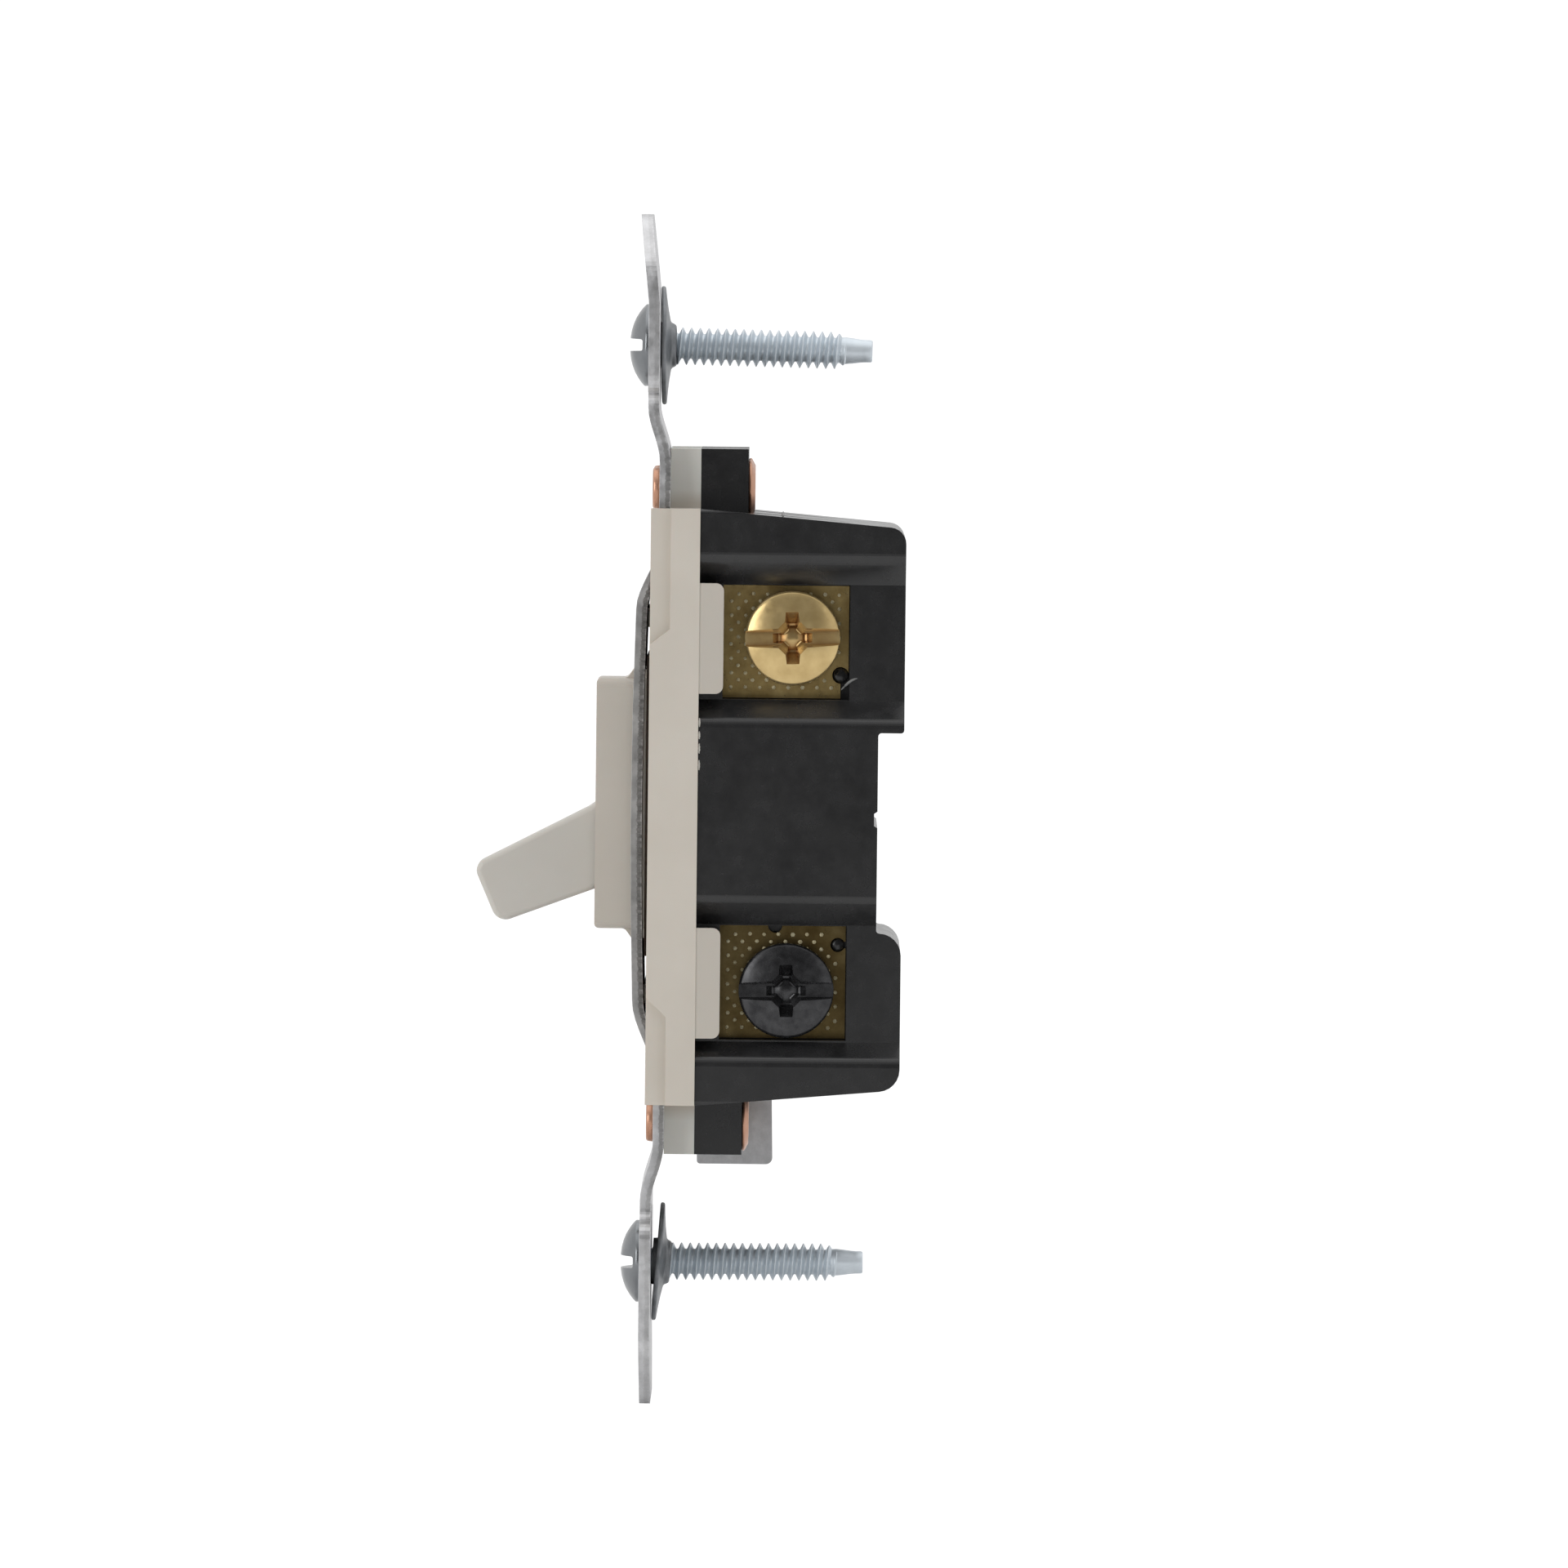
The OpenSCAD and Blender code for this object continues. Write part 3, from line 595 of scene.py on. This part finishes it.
def mounting_screw(name, node, lean, drop):
    """Round head with its slot, a 6-32 thread, a tapered end and a dog point."""
    z = centre(node).z / MM - drop
    dome = [(0, -1.80), (0.7, -1.77), (1.3, -1.69), (1.9, -1.53), (2.5, -1.29), (3.0, -0.99),
            (3.35, -0.74), (3.58, -0.54), (3.70, -0.42), (3.74, -0.34), (3.74, -0.12),
            (3.66, -0.03), (3.5, 0), (1.4, 0), (0, 0.2)]
    head = lathe("head", dome, ZINC_SCREW, steps=96)
    slot = rounded([(-3, -0.64, 0), (-1.7, -0.57, 0), (-0.66, -0.53, 0.2),
                    (-0.66, 0.53, 0.2), (-1.7, 0.57, 0), (-3, 0.64, 0)])
    carve(head, prism_x("slot", slot, -5, 5))
    round_edges(head, 0.1 * MM, angle=40, segments=3)
    apply_modifiers(head)
    thread = threaded_rod("thread", 0.0, 18.1, 1.15, 1.71, ZINC_SCREW)
    point = lathe("point", [(0, 17.0), (1.1, 17.1), (1.2, 17.5), (1.22, 17.9), (1.16, 18.5),
                            (1.06, 19.2), (1.03, 19.6), (1.02, 20.15), (0.96, 20.27), (0.85, 20.3),
                            (0, 20.28)], ZINC_SCREW, steps=48)
    screw = join([head, thread, point], name)
    place(screw, Matrix.Translation((0, SCREW_SEAT * MM, z * MM))
          @ Matrix.Rotation(math.radians(lean), 4, "X"))
    stand_for(screw, node, node)


mounting_screw("mounting_screw_upper", "mount_screw_top", -1.0, 0.0)
mounting_screw("mounting_screw_lower", "mount_screw_bottom", 0.2, 0.2)


def cross_recess(depth, reach, half_w, corner):
    """Cutter for a cross recess that narrows with depth and ends in a shallow cone."""
    quarter = [(reach, -half_w), (reach, half_w), (corner, half_w + 0.08), (half_w + 0.08, corner)]
    plan = []
    for turn in range(4):
        c, s = round(math.cos(turn * math.pi / 2)), round(math.sin(turn * math.pi / 2))
        plan += [(x * c - y * s, x * s + y * c) for x, y in quarter]
    n = len(plan)
    points, faces = [], []
    for scale, height in ((1.12, 0.6), (1.0, 0.0), (0.52, -depth)):
        points += [(x * scale, y * scale, height) for x, y in plan]
    points.append((0, 0, -depth - 0.35))
    for level in (0, n):
        faces += [(level + i, level + (i + 1) % n, level + n + (i + 1) % n, level + n + i)
                  for i in range(n)]
    faces += [(2 * n + i, 2 * n + (i + 1) % n, 3 * n) for i in range(n)]
    faces.append(tuple(range(n - 1, -1, -1)))
    return mesh_piece("recess", points, faces, BLACK, smooth=False)


def terminal_screw(name, node, material, spin):
    """Slightly domed head with a tapered full slot and a deeper cross recess."""
    low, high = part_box(node)
    side = 1 if centre(node).x > 0 else -1
    radius = (high.z - low.z) / 2 / MM
    shoulder, rim, thick = 1.75, 0.42, 2.3
    profile = [(0, 0), (2.0, 0), (radius - 0.12, 0), (radius, 0.12), (radius, shoulder - rim)]
    for i in range(1, 8):
        turn = math.radians(i * 80 / 8)
        profile.append((radius - rim * (1 - math.cos(turn)), shoulder - rim + rim * math.sin(turn)))
    face_r, face_y = profile[-1]
    for i in range(1, 9):
        t = i / 9
        profile.append((face_r * (1 - t), face_y + (thick - face_y) * (1 - (1 - t) ** 2)))
    profile.append((0, thick))
    head = lathe("head", profile, material, steps=128)

    def carve_with(cutter, turn):
        place(cutter, Matrix.Translation((0, thick * MM, 0))
              @ Matrix.Rotation(turn, 4, "Y") @ Matrix.Rotation(math.radians(-90), 4, "X"))
        carve(head, cutter)

    carve_with(wedge(1.8, 1.16, 1.1, 12), 0)
    carve_with(cross_recess(1.85, 2.5, 0.6, 1.55), 0)
    round_edges(head, 0.07 * MM, angle=28, segments=2)
    apply_modifiers(head)
    shank = threaded_rod("shank", -7.2, 0.4, 1.72, 2.05, material, steps=40, rings=14)
    screw = join([head, shank], name)
    turned = (Matrix.Rotation(math.radians(-90 * side), 4, "Z")
              @ Matrix.Rotation(math.radians(spin), 4, "Y"))
    seat = Vector((side * TERMINAL_SEAT * MM, centre(node).y, centre(node).z))
    place(screw, Matrix.Translation(seat) @ turned)
    stand_for(screw, node, node)


terminal_screw("brass_screw_near", "traveler_screw_right", BRIGHT_BRASS, 1.6)
terminal_screw("brass_screw_far", "traveler_screw_left", BRIGHT_BRASS, 38)
terminal_screw("black_screw_near", "common_screw", BLACK_OXIDE, 0.8)


# ---------------------------------------------------------------- retaining washers


def retaining_washer(name, node, tilt, shift, boss, drop):
    """A thin cone washer, which sits slightly askew on its screw, with a boss towards the strap."""
    z = centre(node).z - drop * MM
    rim_r = 5.4
    profile = [(1.72, -boss), (2.1, -boss), (2.15, 0.02), (5.2, 0.02), (5.36, 0.08), (rim_r, 0.22),
               (5.36, 0.38), (5.22, 0.45), (4.3, 0.54), (3.2, 0.68), (2.5, 0.8), (2.2, 0.86),
               (2.06, 0.96), (1.98, 1.14), (1.88, 1.3), (1.74, 1.38), (1.7, 0.6), (1.72, -boss)]
    washer = lathe(name, profile, WASHER, steps=96)
    for point in washer.data.vertices:
        spin = math.atan2(point.co.z, point.co.x)
        reach = math.hypot(point.co.x, point.co.z) / (rim_r * MM)
        point.co.y += 0.03 * MM * reach * math.sin(3 * spin + z)
    place(washer, Matrix.Translation((0, shift * MM, z))
          @ Matrix.Rotation(math.radians(tilt), 4, "X"))
    stand_for(washer, node, "root")


retaining_washer("cone_washer_upper", "retaining_washer_top", 0.6, 0.07, 0.06, 0.0)
retaining_washer("cone_washer_lower", "retaining_washer_bottom", -4.4, 0.41, 0.36, 0.2)


# ---------------------------------------------------------------- lever


def lever():
    """The handle tapers in width towards its tip; the drum closes the collar's slot."""
    joint = next(j for j in frame["joints"] if j["name"] == "toggle_throw")
    pivot = Vector(joint["pos_m"])
    tilt = math.radians(joint["range_deg"][1] / 2)
    trunnion_reach = 3.3
    half_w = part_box("toggle")[1].x / MM - trunnion_reach
    side = rounded([(-21.2, -3.0, 1.3), (-21.2, 2.8, 1.1), (-9.5, 3.6, 3), (-7.0, 4.1, 0),
                    (-7.0, -4.1, 0), (-9.5, -3.6, 3)])
    handle = prism_x("handle", side, -half_w, half_w, LEVER)
    for point in handle.data.vertices:
        along = max(0.0, min(1.0, (-point.co.y / MM - 8) / 13))
        point.co.x *= 1 - 0.09 * along
    round_edges(handle, 0.5 * MM, angle=40, segments=5)
    apply_modifiers(handle)
    drum_r = 8
    arc = [(drum_r * math.cos(math.radians(t)), drum_r * math.sin(math.radians(t)))
           for t in range(70, 291, 4)]
    drum = prism_x("drum", arc, -half_w, half_w, LEVER)
    round_edges(drum, 0.25 * MM, angle=40, segments=3)
    apply_modifiers(drum)
    pins = lathe("pins", [(0, -6.1), (1.5, -6.1), (1.6, -6.0), (1.6, 6.0), (1.5, 6.1), (0, 6.1)],
                 LEVER)
    place(pins, Matrix.Rotation(math.radians(90), 4, "Z"))
    piece = join([handle, drum, pins], "lever")
    place(piece, Matrix.Translation(pivot) @ Matrix.Rotation(tilt, 4, "X"))
    stand_for(piece, "toggle", "lever")


lever()


# ---------------------------------------------------------------- spring


def coil_spring():
    """Closed-end coil between the lever's tail and the rocker."""
    start = Vector((0, 7.63, 1.40)) * MM
    end = Vector((0, 12.47, -0.08)) * MM
    axis = (end - start).normalized()
    side = Vector((1, 0, 0))
    other = axis.cross(side)
    turns, steps, sides = 6.5, 28, 8
    coil_r, wire_r, closing = 1.35, 0.18, 0.06
    count = int(turns * steps)
    points, faces = [], []
    for i in range(count + 1):
        turn = math.tau * i / steps
        share = i / count
        rise = share - closing * math.sin(math.tau * share)
        middle = start.lerp(end, rise)
        out = side * math.cos(turn) + other * math.sin(turn)
        for k in range(sides):
            a = math.tau * k / sides
            points.append((middle + out * (coil_r + wire_r * math.cos(a)) * MM
                           + axis * wire_r * MM * math.sin(a)) / MM)
    for i in range(count):
        for k in range(sides):
            a, b = i * sides + k, i * sides + (k + 1) % sides
            faces.append((a, b, b + sides, a + sides))
    faces += [tuple(range(sides)), tuple(range(count * sides + sides - 1, count * sides - 1, -1))]
    spring = mesh_piece("coil_spring", points, faces, SPRING)
    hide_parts("toggle_spring")
    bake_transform(spring)


coil_spring()


# ---------------------------------------------------------------- knurled terminal plates


NOTCH_Y = 16.68
UPPER_NOTCH_Z, LOWER_NOTCH_Z = 12.0, -12.45


def knurl(name, node, screw):
    """Staggered rows of small sharp points on a terminal plate, round its screw's seat."""
    low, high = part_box(node)
    side = 1 if abs(high.x) > abs(low.x) else -1
    seat = centre(screw) / MM
    face_x, pitch, size, tall, ring = 11.9, 1.3, 0.17, 0.17, 6
    rows, columns, first_y, margin, wander = 14, 9, 6.75, 0.95, 0.05
    plate_end, cut_corner_end = 17.1, 16.4
    notch_clear, seat_clear = 1.0, 2.9
    upper = seat.z > 0
    z_low, notch_z = (9.9, UPPER_NOTCH_Z) if upper else (-20.95, LOWER_NOTCH_Z)
    points, faces = [], []
    for row in range(rows):
        for column in range(columns):
            shift = Vector((row, column, side * 7)) * 3.1
            stagger = pitch / 2 if row % 2 else 0
            y = first_y + column * pitch + stagger + wander * noise.noise(shift)
            z = z_low + margin + row * pitch / 2 + wander * noise.noise(shift * 1.7)
            in_notch = math.hypot(y - NOTCH_Y, z - notch_z) < notch_clear
            under_head = math.hypot(y - seat.y, z - seat.z) < seat_clear
            past_end = y > (cut_corner_end if upper and z < notch_z else plate_end)
            if past_end or in_notch or under_head:
                continue
            base = len(points)
            grow = 1 + 0.25 * noise.noise(shift * 2.3)
            for reach, height in ((1.25, -0.1), (0.95, 0.12), (0.3, 0.85)):
                points += [(face_x + tall * grow * height,
                            y + size * grow * reach * math.cos(math.tau * k / ring),
                            z + size * grow * reach * math.sin(math.tau * k / ring))
                           for k in range(ring)]
            points.append((face_x + tall * grow, y, z))
            for level in range(2):
                for k in range(ring):
                    a, b = base + level * ring + k, base + level * ring + (k + 1) % ring
                    faces.append((a, b, b + ring, a + ring))
            top = base + 2 * ring
            faces += [(top + k, top + (k + 1) % ring, top + ring) for k in range(ring)]
            faces.append(tuple(base + k for k in range(ring - 1, -1, -1)))
    plate = mesh_piece(name, [(side * x, y, z) for x, y, z in points], faces, PAINTED_GLINT_BRASS)
    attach(plate, "root")


knurl("knurl_near_upper", "traveler_terminal_right", "traveler_screw_right")
knurl("knurl_far_upper", "traveler_terminal_left", "traveler_screw_left")
knurl("knurl_near_lower", "common_terminal", "common_screw")


# ---------------------------------------------------------------- moulded pegs and flash


def peg(name, z, radius, side=1):
    """A peg that fills a terminal plate's notch and hides the contact strip behind it.

    It is a painted shade, black plastic standing in for the shaded hole seen there, not a known
    piece of the housing.
    """
    start, shoulder, chamfer = 10.5, 11.5, 0.08
    piece = lathe(name, [(0, start), (radius, start), (radius, shoulder),
                         (radius - chamfer, 11.58), (0, 11.58)], BLACK, steps=48)
    place(piece, Matrix.Translation((0, NOTCH_Y * MM, z * MM))
          @ Matrix.Rotation(math.radians(-90 * side), 4, "Z"))
    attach(piece, "root")


peg("notch_peg_near_upper", UPPER_NOTCH_Z, 0.74)
peg("notch_peg_far_upper", UPPER_NOTCH_Z, 0.74, side=-1)
peg("notch_peg_near_lower", LOWER_NOTCH_Z, 0.63)


def bead(name, path, radius, material):
    """A thin round bead along a path, with tapered ends: moulding flash."""
    sides, last = 8, len(path) - 1
    points, faces = [], []
    for i, point in enumerate(path):
        here = Vector(point)
        along = (Vector(path[min(i + 1, last)]) - Vector(path[max(i - 1, 0)])).normalized()
        across = along.orthogonal().normalized()
        other = along.cross(across)
        reach = radius * max(0.25, math.sin(math.pi * i / last)) ** 0.5
        points += [here + reach * (across * math.cos(math.tau * k / sides)
                                   + other * math.sin(math.tau * k / sides)) for k in range(sides)]
    for i in range(last):
        for k in range(sides):
            a, b = i * sides + k, i * sides + (k + 1) % sides
            faces.append((a, b, b + sides, a + sides))
    faces += [tuple(range(sides)), tuple(range(len(points) - 1, len(points) - 1 - sides, -1))]
    piece = mesh_piece(name, points, faces, material)
    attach(piece, "root")


def moulding_flash():
    """The curl by the upper terminal and a ridge on the housing's top, given a painted highlight,
    and joint flash.
    """
    curl = [(14.3, 16.75 + 0.12 * i, 10.75 + 1.05 * math.sin(math.pi * i / 26)) for i in range(13)]
    bead("moulded_curl", curl, 0.13, PAINTED_SHEEN)

    top_z, top_y = 26.38, 11.3
    ridge = [(-15 + 3 * i, top_y, top_z + 0.04 * math.sin(5 * i)) for i in range(11)]
    bead("top_flash", ridge, 0.14, PAINTED_SHEEN)

    side_x, joint_y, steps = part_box("rear_housing")[1].x / MM, 3.95, 6
    for i, (low, high) in enumerate(((7.3, 8.1), (6.2, 6.9), (4.9, 5.8), (3.4, 4.3))):
        seam = [(side_x, joint_y + 0.02 * math.sin(3 * k + i), low + (high - low) * k / steps)
                for k in range(steps + 1)]
        bead(f"joint_flash_{i}", seam, 0.1, LEVER)


moulding_flash()


# ---------------------------------------------------------------- light tent and camera


def sheet(name, corners, shade):
    """A stage surface that looks white to the camera and gives back shade of the light."""
    material = bpy.data.materials.new(name)
    material.use_nodes = True
    tree = material.node_tree
    tree.nodes.remove(tree.nodes["Principled BSDF"])
    matt = tree.nodes.new("ShaderNodeBsdfDiffuse")
    matt.inputs["Color"].default_value = (shade, shade, shade, 1)
    seen = tree.nodes.new("ShaderNodeEmission")
    seen.inputs["Strength"].default_value = WHITE
    ray = tree.nodes.new("ShaderNodeLightPath")
    blend = tree.nodes.new("ShaderNodeMixShader")
    tree.links.new(ray.outputs["Is Camera Ray"], blend.inputs[0])
    tree.links.new(matt.outputs[0], blend.inputs[1])
    tree.links.new(seen.outputs[0], blend.inputs[2])
    tree.links.new(blend.outputs[0], tree.nodes["Material Output"].inputs["Surface"])
    mesh = bpy.data.meshes.new(name)
    mesh.from_pydata(corners, [], [(0, 1, 2, 3)])
    mesh.materials.append(material)
    obj = bpy.data.objects.new(name, mesh)
    bpy.context.scene.collection.objects.link(obj)


def white_surroundings(near, far, top):
    """A white tent whose light falls off towards +X, where the front opening of a tent is."""
    world = bpy.data.worlds.new("world")
    world.use_nodes = True
    tree = world.node_tree
    back, out = tree.nodes["Background"], tree.nodes["World Output"]
    place_at = tree.nodes.new("ShaderNodeTexCoord")
    parts = tree.nodes.new("ShaderNodeSeparateXYZ")
    tree.links.new(place_at.outputs["Generated"], parts.inputs[0])

    def ranged(socket, low, high, at_low, at_high):
        node = tree.nodes.new("ShaderNodeMapRange")
        node.interpolation_type = "SMOOTHSTEP"
        ends = ("From Min", "From Max", "To Min", "To Max")
        for key, value in zip(ends, (low, high, at_low, at_high)):
            node.inputs[key].default_value = value
        tree.links.new(socket, node.inputs["Value"])
        return node.outputs["Result"]

    total = tree.nodes.new("ShaderNodeMath")
    total.operation = "ADD"
    tree.links.new(ranged(parts.outputs["X"], 0.0, 0.95, far, near), total.inputs[0])
    tree.links.new(ranged(parts.outputs["Z"], 0.45, 0.95, 0.0, top), total.inputs[1])
    tree.links.new(total.outputs[0], back.inputs["Strength"])
    seen = tree.nodes.new("ShaderNodeBackground")
    seen.inputs["Strength"].default_value = WHITE
    ray = tree.nodes.new("ShaderNodeLightPath")
    blend = tree.nodes.new("ShaderNodeMixShader")
    tree.links.new(ray.outputs["Is Camera Ray"], blend.inputs[0])
    tree.links.new(back.outputs[0], blend.inputs[1])
    tree.links.new(seen.outputs[0], blend.inputs[2])
    tree.links.new(blend.outputs[0], out.inputs["Surface"])
    for node in (back, seen):
        node.inputs["Color"].default_value = (1, 1, 1, 1)
    bpy.context.scene.world = world


def studio():
    """A plain white floor just under the object, short on the near side, and a white tent."""
    floor_z = CAD_BOX[0][2] - 0.4 * MM
    far, near_side = 30, 0.5
    sheet("floor", [(-far, -far, floor_z), (near_side, -far, floor_z), (near_side, far, floor_z),
                    (-far, far, floor_z)], 0.85)
    white_surroundings(near=0.15, far=0.85, top=0.6)
    bpy.context.scene.view_settings.view_transform = "Standard"


def soft_light(name, place_at, aim, size, power):
    lamp = bpy.data.lights.new(name, "AREA")
    lamp.shape = "RECTANGLE"
    lamp.size, lamp.size_y = size
    lamp.energy = power
    obj = bpy.data.objects.new(name, lamp)
    obj.location = place_at
    obj.rotation_euler = (Vector(aim) - Vector(place_at)).to_track_quat("-Z", "Y").to_euler()
    bpy.context.scene.collection.objects.link(obj)


def camera():
    """Square on the near side, slightly above, with the slight roll of a hand-placed object."""
    aim = Vector((0, 0.01165, 0.00179))
    lift, turn, roll = (math.radians(angle) for angle in (1.5, 0.05, 0.62))
    away, view, sensor = 2.0, 0.1430, 36
    data = bpy.data.cameras.new("camera")
    data.sensor_width = sensor
    data.lens = sensor * away / view
    data.clip_end = 100
    obj = bpy.data.objects.new("camera", data)
    obj.location = aim + away * Vector((math.cos(lift) * math.cos(turn),
                                        math.cos(lift) * math.sin(turn), math.sin(lift)))
    look = (aim - obj.location).to_track_quat("-Z", "Y").to_matrix()
    obj.rotation_euler = (look @ Matrix.Rotation(roll, 3, "Z")).to_euler()
    bpy.context.scene.collection.objects.link(obj)
    bpy.context.scene.camera = obj


studio()
soft_light("box_front", (1.0, -0.85, 0.25), (0, 0, 0), (0.7, 0.9), 6.2)
soft_light("box_back", (1.0, 0.85, 0.25), (0, 0, 0), (0.7, 0.9), 1.2)
camera()
